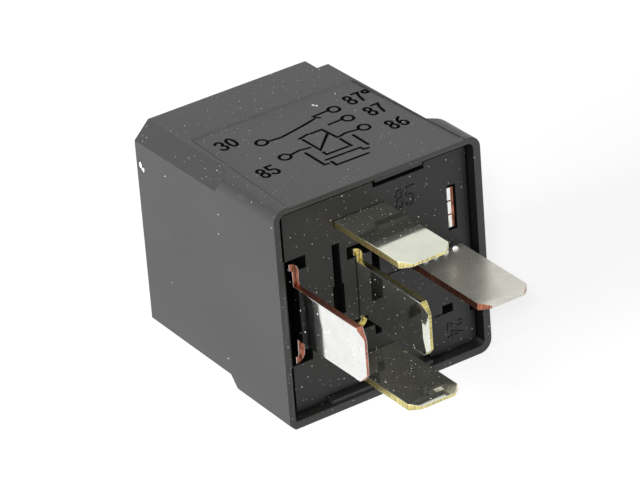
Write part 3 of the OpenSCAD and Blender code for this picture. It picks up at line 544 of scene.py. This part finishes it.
# The rounding of the case, the edges that are long enough for it, how far from the long corners it
# reaches, and the strip beside the marking panel
CASE_EDGE = 0.07
SHORTEST_EDGE = 0.5
CORNER_REACH = 4.0
PANEL_MARGIN = 1.7
# The engraved lines of the circuit
LINE_W, LINE_DEPTH, LINE_SLOPE = 0.31, 0.28, 0.05
# The seam of the panel: its width, its slope, and its distances from the panel's left, near and far edges
SEAM_W, SEAM_SLOPE = 0.12, 0.02
SEAM_LEFT, SEAM_NEAR, SEAM_FAR = 0.02, 0.1, 0.05
# The ramp at the far end of the panel, and how steeply the front falls away
EASE = 0.45
FRONT_FALL = math.tan(math.radians(0.58))


def is_outer_edge(edge):
    """True for the long edges outside, apart from the shallow step of the marking panel."""
    if edge.calc_length() < SHORTEST_EDGE * MM:
        return False
    middle = (edge.verts[0].co + edge.verts[1].co) / 2
    near_side = CAP_HIGH.x - abs(middle.x - MIDDLE.x) < CORNER_REACH * MM
    near_face = min(CAP_HIGH.z - middle.z, middle.z - CAP_LOW.z) < CORNER_REACH * MM
    at_rim = middle.y < RIM_Y + 0.05 * MM
    at_end = middle.y > CAP_HIGH.y - 0.5 * MM
    on_panel = middle.z > FRONT_Z - 0.5 * MM and abs(middle.x) < CAP_HIGH.x - PANEL_MARGIN * MM
    return at_rim or ((at_end or (near_side and near_face)) and not on_panel)


def ease_far_edge(mesh, panel):
    """Turns the step at the far end of the marking panel into a gentle ramp."""
    far = max(v.co.y for v in panel.verts)
    for vert in mesh.verts:
        above = vert.co.z > FRONT_Z - 0.3 * MM and abs(vert.co.y - far) < 0.05 * MM
        if above and vert not in panel.verts:
            vert.co.y += EASE * MM
            vert.co.z -= EASE * MM * FRONT_FALL
    mesh.normal_update()


def panel_seam(panel):
    """The fine seam inside the left edge of the panel, lined with painted shade: its outline at the surface
    and at the bottom.
    """
    left = [v.co.xy / MM for v in panel.verts if v.co.x < MIDDLE.x]
    near = min(left, key=lambda p: p.y)
    far = max(left, key=lambda p: p.y)
    along = (far - near).normalized()
    inward = Vector((along.y, -along.x))
    start, end = near + along * SEAM_NEAR, far - along * SEAM_FAR

    def strip(low, high):
        return [start + inward * high, end + inward * high, end + inward * low, start + inward * low]

    right = SEAM_LEFT + SEAM_W
    return strip(SEAM_LEFT, right), strip(SEAM_LEFT + SEAM_SLOPE, right - SEAM_SLOPE)


def case(plastic, unlit):
    """The case with its engraved circuit; the lines, the seam and the right inner wall get painted shade, the
    wall as though it faced away from the light.
    """
    mesh = cad_mesh("cap")
    round_edges(mesh, CASE_EDGE, keep=is_outer_edge)
    upward = [f for f in mesh.faces if f.normal.z > 0.99 and f.calc_center_median().z > FRONT_Z - MM]
    panel = max(upward, key=lambda f: f.calc_area())
    ease_far_edge(mesh, panel)
    lines = [[place(x, y, 0).xy / MM for x, y in stroke] for stroke in circuit_strokes()]
    outlines = drawn(lines, LINE_W, LINE_SLOPE) + [panel_seam(panel)]
    # The walls and floors of the engraved lines and of the seam get painted shade
    relief(mesh, [panel], 2, outlines, -LINE_DEPTH, UNLIT)
    # Painted shade: the right inner wall is made near-black
    for face in mesh.faces:
        at_right = face.calc_center_median().x > BASE_HIGH.x - 0.5 * MM
        if face.normal.x < -0.9 and at_right:
            face.material_index = UNLIT
    return dress("cap", mesh, [plastic, unlit], name="case_shell")


# ---- the base ----

BASE_EDGE = 0.05
# Where the round corners of the base start, from the middle
BASE_CORNER = 11.2
# The gap by the rim, lined with painted shade to draw the dark line along the base's left and front edges:
# its depth, what is left outside it, and where the base starts again inside it
GAP_DEPTH, GAP_SLOPE, GAP_OUTSIDE = 0.9, 0.01, 0.1
GAP_TOP, GAP_LEFT = 11.36, -11.22
# The pocket on the left and the notch in front, which the gap leaves free
POCKET_LOW, POCKET_HIGH = -6.5, 6.1
NOTCH_LEFT, NOTCH_RIGHT = 0.05, 6.75
# The raised numbers and the corner line that is scribed between the blades
NUMBER_W, NUMBER_SLOPE, NUMBER_RISE = 0.24, 0.07, 0.08
CORNER_LINE = [(1.25, -0.45), (1.25, 0.0), (3.0, 0.0)]
CORNER_LINE_W, CORNER_LINE_SLOPE, CORNER_LINE_DEPTH = 0.13, 0.02, 0.1
# How far below the outer face the pockets get painted shade
UNLIT_DEPTH = 0.3


def base_numbers():
    """Plain raised numbers by the blades, in (x, height above the middle)."""
    strokes = figure_strokes("85", 2.9, 7.0, 2.2)
    turned = figure_strokes("24", 0.0, 0.0, 1.8)
    return strokes + [[(8.4 + y, -8.7 - x) for x, y in stroke] for stroke in turned]


def gap_outlines(inset):
    """The gap along the left and the front edge of the base, between its pockets and its notch."""
    side = BASE_HIGH.x / MM - GAP_OUTSIDE - inset
    left, low = GAP_LEFT - inset, GAP_TOP + inset
    notch_left, notch_right = NOTCH_LEFT - inset, NOTCH_RIGHT + inset
    above_pocket, below_pocket = POCKET_HIGH + inset, POCKET_LOW - inset
    corner = [(-side, above_pocket), (left, above_pocket), (left, low), (notch_left, low), (notch_left, side)]
    corner += arc(-BASE_CORNER, BASE_CORNER, side - BASE_CORNER, side - BASE_CORNER, 90, 180, 4)
    beside = [(-side, -BASE_CORNER), (left, -BASE_CORNER), (left, below_pocket), (-side, below_pocket)]
    end = BASE_CORNER - inset
    front = [(notch_right, low), (end, low), (end, side), (notch_right, side)]
    return corner, beside, front


def from_foot(line):
    """Points whose height is taken from the middle, with it taken from the frame's foot instead."""
    return [(x, height + MIDDLE.z / MM) for x, height in line]


def is_on_outer_face(point):
    """True for a point on the base's outer face, which the blades stand on."""
    return point.y < BASE_LOW.y + 0.01 * MM


def outer_faces(mesh):
    """The flat faces that make up the base's outer face."""
    return [f for f in mesh.faces if f.normal.y < -0.999 and is_on_outer_face(f.calc_center_median())]


def base_plate(plastic, unlit):
    """The base with the gap along its edge and its numbers; the gap, the numbers' slopes, the corner line and
    the pockets that no light reaches get painted shade.
    """
    mesh = cad_mesh("base")
    round_edges(mesh, BASE_EDGE, keep=lambda edge: all(is_on_outer_face(v.co) for v in edge.verts))
    gaps = [tuple(map(from_foot, pair)) for pair in zip(gap_outlines(0.0), gap_outlines(GAP_SLOPE))]
    relief(mesh, outer_faces(mesh), 1, gaps, -GAP_DEPTH, UNLIT)
    # The slopes of the raised numbers get painted shade, and their tops the plain plastic
    numbers = drawn([from_foot(stroke) for stroke in base_numbers()], NUMBER_W, NUMBER_SLOPE)
    relief(mesh, outer_faces(mesh), 1, numbers, NUMBER_RISE, UNLIT, PLAIN)
    line = drawn([from_foot(CORNER_LINE)], CORNER_LINE_W, CORNER_LINE_SLOPE)
    relief(mesh, outer_faces(mesh), 1, line, -CORNER_LINE_DEPTH, UNLIT)
    # Painted shade: faces deeper than UNLIT_DEPTH that don't face out are made near-black
    for face in mesh.faces:
        if face.normal.y < 0.9 and face.calc_center_median().y > BASE_LOW.y + UNLIT_DEPTH * MM:
            face.material_index = UNLIT
    return dress("base", mesh, [plastic, unlit])


# ---- the terminals ----

# Material slots of a terminal: its plating, its bare cut edges, and its mark, bends or bumps; the bends'
# material carries painted reflection
PLATED, BARE, OTHER = 0, 1, 2

# The rounding of a blade, and of the side that the press tool rolls over
BLADE_EDGE, ROLL = 0.05, 0.2
# How far the tips, the bends by the base, the bumps beside it and the sides of a blade reach
TIP_REACH, BEND_REACH, BUMP_REACH, SIDE_REACH = 1.1, 1.1, 4.0, 0.06
# The largest face of a bump, in square metres
BUMP_FACE = 0.03 * MM * MM
MARK_DEPTH = 0.04


def is_cut_edge(normal, middle, thin, low, high, bare_end):
    """True for a face made by the press tool, where the plating doesn't reach."""
    if abs(normal[thin]) > 0.3 or middle.y > BASE_HIGH.y:
        return False
    wide = 2 if thin == 0 else 0
    at_end = middle.y < low.y + TIP_REACH * MM or thin == 0
    at_side = min(middle[wide] - low[wide], high[wide] - middle[wide]) < SIDE_REACH * MM
    across = abs(normal.y) > 0.6 and at_end
    sloped = abs(normal.y) < 0.9
    return (across and (bare_end or sloped)) or (abs(normal[wide]) > 0.8 and at_side)


def roll_side(mesh):
    """Rounds the long edges on the left of an upright blade, where the press tool entered."""

    def entered(edge):
        normals = [face.normal for face in edge.link_faces]
        broad = any(n.x < -0.99 for n in normals)
        beside = any(abs(n.z) > 0.9 for n in normals)
        return broad and beside and edge.calc_length() > 6 * MM and edge.verts[0].co.y < BASE_LOW.y

    round_edges(mesh, ROLL, keep=entered, segments=4, clamp=False)


def paint_terminal(mesh, thin, bare_end, smeared):
    """Gives the faces of a terminal their material slots."""
    outside = [v.co for v in mesh.verts if v.co.y < RIM_Y]
    low = Vector([min(c[i] for c in outside) for i in range(3)])
    high = Vector([max(c[i] for c in outside) for i in range(3)])
    smear = low.x + (high.x - low.x) * smeared
    if smeared:
        cut_across(mesh, Vector((smear, 0, 0)), 0)
    root = BASE_LOW.y
    for face in mesh.faces:
        middle = face.calc_center_median()
        by_base = middle.y > root - BEND_REACH * MM
        on_smear = smeared and middle.x < smear and abs(face.normal.z) > 0.9 and not by_base
        near_root = root > middle.y > root - BUMP_REACH * MM
        if not bare_end and near_root and face.calc_area() < BUMP_FACE:
            face.material_index = OTHER
        elif face.material_index == PLATED and not on_smear:
            if is_cut_edge(face.normal, middle, thin, low, high, bare_end):
                # The bends by the base of an upright blade get the copy with painted reflection
                face.material_index = OTHER if thin == 0 and by_base else BARE


def terminal(node, thin, materials, marks=None, bare_end=True, smeared=0.0):
    """A blade with its broad faces plated and its cut edges bare; thin is the axis it is thin along.

    materials are for the plating, for the cut edges, and for the mark, the bends by the base or the
    bumps; the bends' material is darkened in patches as painted reflection. A blade whose end isn't bare
    has bumps. smeared is the share of the edge's thickness that the press tool has smeared with plating.
    """
    mesh = cad_mesh(node)
    if thin == 0:
        roll_side(mesh)
    round_edges(mesh, BLADE_EDGE)
    if marks is not None:
        broad = [f for f in mesh.faces if f.normal[thin] > 0.999]
        relief(mesh, [max(broad, key=lambda f: f.calc_area())], thin, marks, -MARK_DEPTH, OTHER)
    paint_terminal(mesh, thin, bare_end, smeared)
    return dress(node, mesh, materials)


def coined_mark():
    """The outlines of a shallow rectangle pressed into the face of blade 86, by its tip."""
    low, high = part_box("terminal_86")
    x, y = high.x / MM - 3.0, low.y / MM + 1.4
    corners = [(-0.5, -0.36), (0.5, -0.36), (0.5, 0.36), (-0.5, 0.36)]
    return [tuple([(x + u * size, y + v * size) for u, v in corners] for size in (1.0, 0.8))]


# ---- the leaf spring ----

# Material slots of the leaf spring after its strip: the tinned and the bare layer at its end
TINNED, UNTINNED = 1, 2

SPRING_EDGE = 0.03
SPRING_CUTS = 24
# Where the layers of the tail meet across its end, and where its two nicks are along it
FOLD_SHARE = 0.55
NICK_SHARES = ((0.31, 0.35), (0.65, 0.69))


def mark_tail(mesh, low):
    """The end of the folded tail: one layer tinned with two nicks, the other bare."""

    def at_end(point):
        return point.y < low.y + 0.04 * MM

    end = [v.co.copy() for v in mesh.verts if at_end(v.co)]
    left, right = min(c.x for c in end), max(c.x for c in end)
    foot, head = min(c.z for c in end), max(c.z for c in end)
    fold = left + (right - left) * FOLD_SHARE
    nicks = [[foot + (head - foot) * share for share in pair] for pair in NICK_SHARES]
    cut_across(mesh, Vector((fold, 0, 0)), 0)
    for pair in nicks:
        for height in pair:
            cut_across(mesh, Vector((0, 0, height)), 2)
    for face in mesh.faces:
        middle = face.calc_center_median()
        if at_end(middle):
            nicked = any(start < middle.z < stop for start, stop in nicks)
            face.material_index = UNTINNED if middle.x > fold or nicked else TINNED


def leaf_spring(materials):
    """The leaf spring between the yoke and the armature, cut finely along its length and its width."""
    mesh = cad_mesh("contact_spring")
    low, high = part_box("contact_spring")
    round_edges(mesh, SPRING_EDGE)
    for axis in (0, 1):
        for i in range(1, SPRING_CUTS):
            point = low.copy()
            point[axis] += (high[axis] - low[axis]) * i / SPRING_CUTS
            cut_across(mesh, point, axis)
    mark_tail(mesh, low)
    made = make_object("contact_spring_look", mesh, materials)
    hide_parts("contact_spring")
    # The bend lies in the corner where the strip turns round the end of the yoke.
    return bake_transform(made)


# ---- the other inner pieces ----


def soften(node, width_mm, material, body="root"):
    """A CAD node with its sharp edges rounded."""
    mesh = cad_mesh(node)
    round_edges(mesh, width_mm)
    return dress(node, mesh, [material], body)


def repaint(node, material):
    """A CAD node with its own mesh and another material."""
    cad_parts[node].data.materials[0] = material


# ---- stage ----


def seen_directly(shader):
    """1 for camera, glossy and transmission rays."""
    path = shader.node("LightPath").outputs
    either = shader.math("MAXIMUM", path["Is Camera Ray"], path["Is Glossy Ray"])
    return shader.math("MAXIMUM", either, path["Is Transmission Ray"])


def floor():
    """Pale paper: plain to the light, and bright enough to the camera to meet the background."""
    shader = Shader("floor_paper")
    grain = shader.noise(0.2)
    paper = shader.blend(grain, grey(0.78), grey(0.82))
    bounce = shader.node("BsdfDiffuse", {"Color": paper})
    catcher = shader.node("BsdfDiffuse", {"Color": grey(0.3)})
    glow = shader.node("Emission", {"Color": grey(1.0), "Strength": 0.78})
    shown = shader.node("AddShader", {0: catcher.outputs[0], 1: glow.outputs[0]})
    surface = shader.node("MixShader", {0: seen_directly(shader), 1: bounce.outputs[0], 2: shown.outputs[0]})
    shader.tree.links.new(surface.outputs[0], shader.output.inputs["Surface"])
    mesh = bmesh.new()
    bmesh.ops.create_grid(mesh, x_segments=1, y_segments=1, size=4.0)
    made = make_object("floor", mesh, [shader.material])
    made.location.z = CAP_LOW.z - 0.02 * MM


def studio_world():
    """An even white surround, at full strength only where it is seen or mirrored."""
    world = bpy.data.worlds.new("studio")
    world.use_nodes = True
    bpy.context.scene.world = world
    tree = world.node_tree
    background = tree.nodes["Background"]
    background.inputs["Color"].default_value = (1, 1, 1, 1)
    path = tree.nodes.new("ShaderNodeLightPath")
    strongest = None
    for ray in ("Is Camera Ray", "Is Glossy Ray", "Is Transmission Ray"):
        if strongest is None:
            strongest = path.outputs[ray]
            continue
        larger = tree.nodes.new("ShaderNodeMath")
        larger.operation = "MAXIMUM"
        tree.links.new(strongest, larger.inputs[0])
        tree.links.new(path.outputs[ray], larger.inputs[1])
        strongest = larger.outputs[0]
    strength = tree.nodes.new("ShaderNodeMapRange")
    strength.inputs["To Min"].default_value = 0.16
    strength.inputs["To Max"].default_value = 1.0
    tree.links.new(strongest, strength.inputs["Value"])
    tree.links.new(strength.outputs[0], background.inputs["Strength"])


def area_light(name, position, size, watts):
    """A square light that faces the middle of the case; position and size are in metres."""
    light = bpy.data.lights.new(name, "AREA")
    light.shape = "SQUARE"
    light.size = size
    light.energy = watts
    made = bpy.data.objects.new(name, light)
    made.location = position
    made.rotation_mode = "QUATERNION"
    made.rotation_quaternion = (MIDDLE - Vector(position)).to_track_quat("-Z", "Y")
    bpy.context.scene.collection.objects.link(made)


def camera():
    """The camera stands in front, to the left and above, with a long lens and a slight roll."""
    side, height, roll = math.radians(32.205), math.radians(28.733), math.radians(-4.51)
    distance, lens = 474.7 * MM, 260.42
    target = place(-7.576, 0, 7.876)
    back = Vector((-math.sin(side) * math.cos(height), -math.cos(side) * math.cos(height), math.sin(height)))
    level = (-back).cross(Vector((0, 0, 1))).normalized()
    upright = level.cross(-back)
    right = math.cos(roll) * level + math.sin(roll) * upright
    up = -math.sin(roll) * level + math.cos(roll) * upright
    data = bpy.data.cameras.new("camera")
    data.lens = lens
    data.sensor_width = 36.0
    data.clip_start = 0.01
    data.clip_end = 20.0
    made = bpy.data.objects.new("camera", data)
    turn = Matrix((right, up, back)).transposed().to_4x4()
    made.matrix_world = Matrix.Translation(target + back * distance) @ turn
    bpy.context.scene.collection.objects.link(made)
    bpy.context.scene.camera = made


# ---- the whole relay ----

camera()
floor()
studio_world()
area_light("key", (-0.75, -1.02, 0.81), 0.12, 10.0)
area_light("side", (-0.85, -0.05, 0.12), 0.5, 22.0)
area_light("top", (0.05, 0.35, 0.75), 0.6, 1.0)
bpy.context.scene.view_settings.view_transform = "Standard"

# Two flakes of dust on the left face, by its far edge, and two on the front face behind the circuit
FLAKES = (
    (place(-12.94, 25.95, 8.2), 0.55),
    (place(-12.94, 25.45, 7.75), 0.5),
    (place(3.9, 17.5, 12.83), 0.42),
    (place(4.15, 17.15, 12.83), 0.36),
)
black_case = moulded_plastic("case_black", 0.018, 0.36, 1.0, flakes=FLAKES)
black_base = moulded_plastic("base_black", 0.014, 0.42, 1.3, shine=0.36)

# Rolling lines and shear streaks run along one axis of the blades, so each material says which.
along_y, along_x, even = (5, 0.4, 5), (0.4, 5, 5), (3, 3, 3)
tin_on_brass = plated_tin("tin_on_brass", (0.7, 0.71, 0.6), 0.08, 1.1, along_y, pitted=0.5, haze=0.06)
tin_upright = plated_tin("tin_upright", (0.74, 0.75, 0.66), 0.08, 0.7, along_y, pitted=0.2, haze=0.015)
tin_bright = plated_tin("tin_bright", (0.84, 0.84, 0.82), 0.1, 0.8, along_y, pitted=0.6)
tin_matt = plated_tin("tin_matt", (0.62, 0.61, 0.54), 0.32, 1.2, along_x, smeared=0.12, haze=0.35)
tin_coined = plated_tin("coined_tin", (0.7, 0.7, 0.55), 0.45, 0.5, even, haze=0.6)

through_z, through_x, bent = (7, 7, 0.6), (0.6, 7, 7), (3, 3, 1)
brass_edge = sheared_metal("sheared_brass", (0.74, 0.64, 0.26), 0.28, through_z)
brass_edge_x = sheared_metal("sheared_brass_x", (0.62, 0.55, 0.2), 0.28, through_x)
# A darker brass copy with deep dark patches: painted reflection of the dark base, and of glints, on the bends
# by the base
brass_bend_painted_reflection = sheared_metal("bent_brass_painted_reflection", (0.62, 0.5, 0.16), 0.2, bent, 0.15)
copper_edge = sheared_metal("sheared_copper", (0.42, 0.16, 0.1), 0.3, through_z)
copper_edge_x = sheared_metal("sheared_copper_x", (0.5, 0.2, 0.14), 0.3, through_x)
# A darker copper copy with deep dark patches: painted reflection of the dark base, and of glints, on the
# bends by the base
copper_bend_painted_reflection = sheared_metal("bent_copper_painted_reflection", (0.34, 0.13, 0.08), 0.16, bent, 0.15)

steel = plain_metal("zinc_steel", (0.58, 0.6, 0.62), 0.32)
spring_metal = plain_metal("spring_copper_alloy", (0.78, 0.4, 0.24), 0.25)
silver = plain_metal("contact_silver", (0.85, 0.84, 0.8), 0.25, even)
tin_leads = plain_metal("tinned_leads", (0.78, 0.77, 0.72), 0.25)
# The near-black of painted shade, for the grooves, gaps, pockets and the case's right inner wall
unlit_black = painted_shade()

case(black_case, unlit_black)
base_plate(black_base, unlit_black)
terminal("terminal_85", 2, [tin_on_brass, brass_edge])
terminal("terminal_86", 2, [tin_on_brass, brass_edge, tin_coined], marks=coined_mark())
terminal("terminal_30", 2, [tin_matt, copper_edge, tin_bright], bare_end=False)
terminal("terminal_87", 0, [tin_bright, copper_edge_x, copper_bend_painted_reflection])
terminal("terminal_87a", 0, [tin_upright, brass_edge_x, brass_bend_painted_reflection], smeared=0.5)
# The bare layer at the tail's end uses the copper with painted reflection too
leaf_spring([spring_metal, tin_bright, copper_bend_painted_reflection])

for iron in ("yoke", "core"):
    soften(iron, 0.08, steel)
soften("armature", 0.08, steel, "armature")
soften("bobbin", 0.06, bobbin_nylon())
soften("moving_contact", 0.05, silver, "armature")
for fixed in ("contact_87", "contact_87a"):
    soften(fixed, 0.05, silver)
soften("diode_body", 0.12, diode_epoxy())
enamel = wire_enamel()
for wound in ("winding", "coil_wire_85", "coil_wire_86"):
    repaint(wound, enamel)
for riveted in ("yoke_rivets", "armature_rivets"):
    repaint(riveted, steel)
repaint("diode_leads", tin_leads)
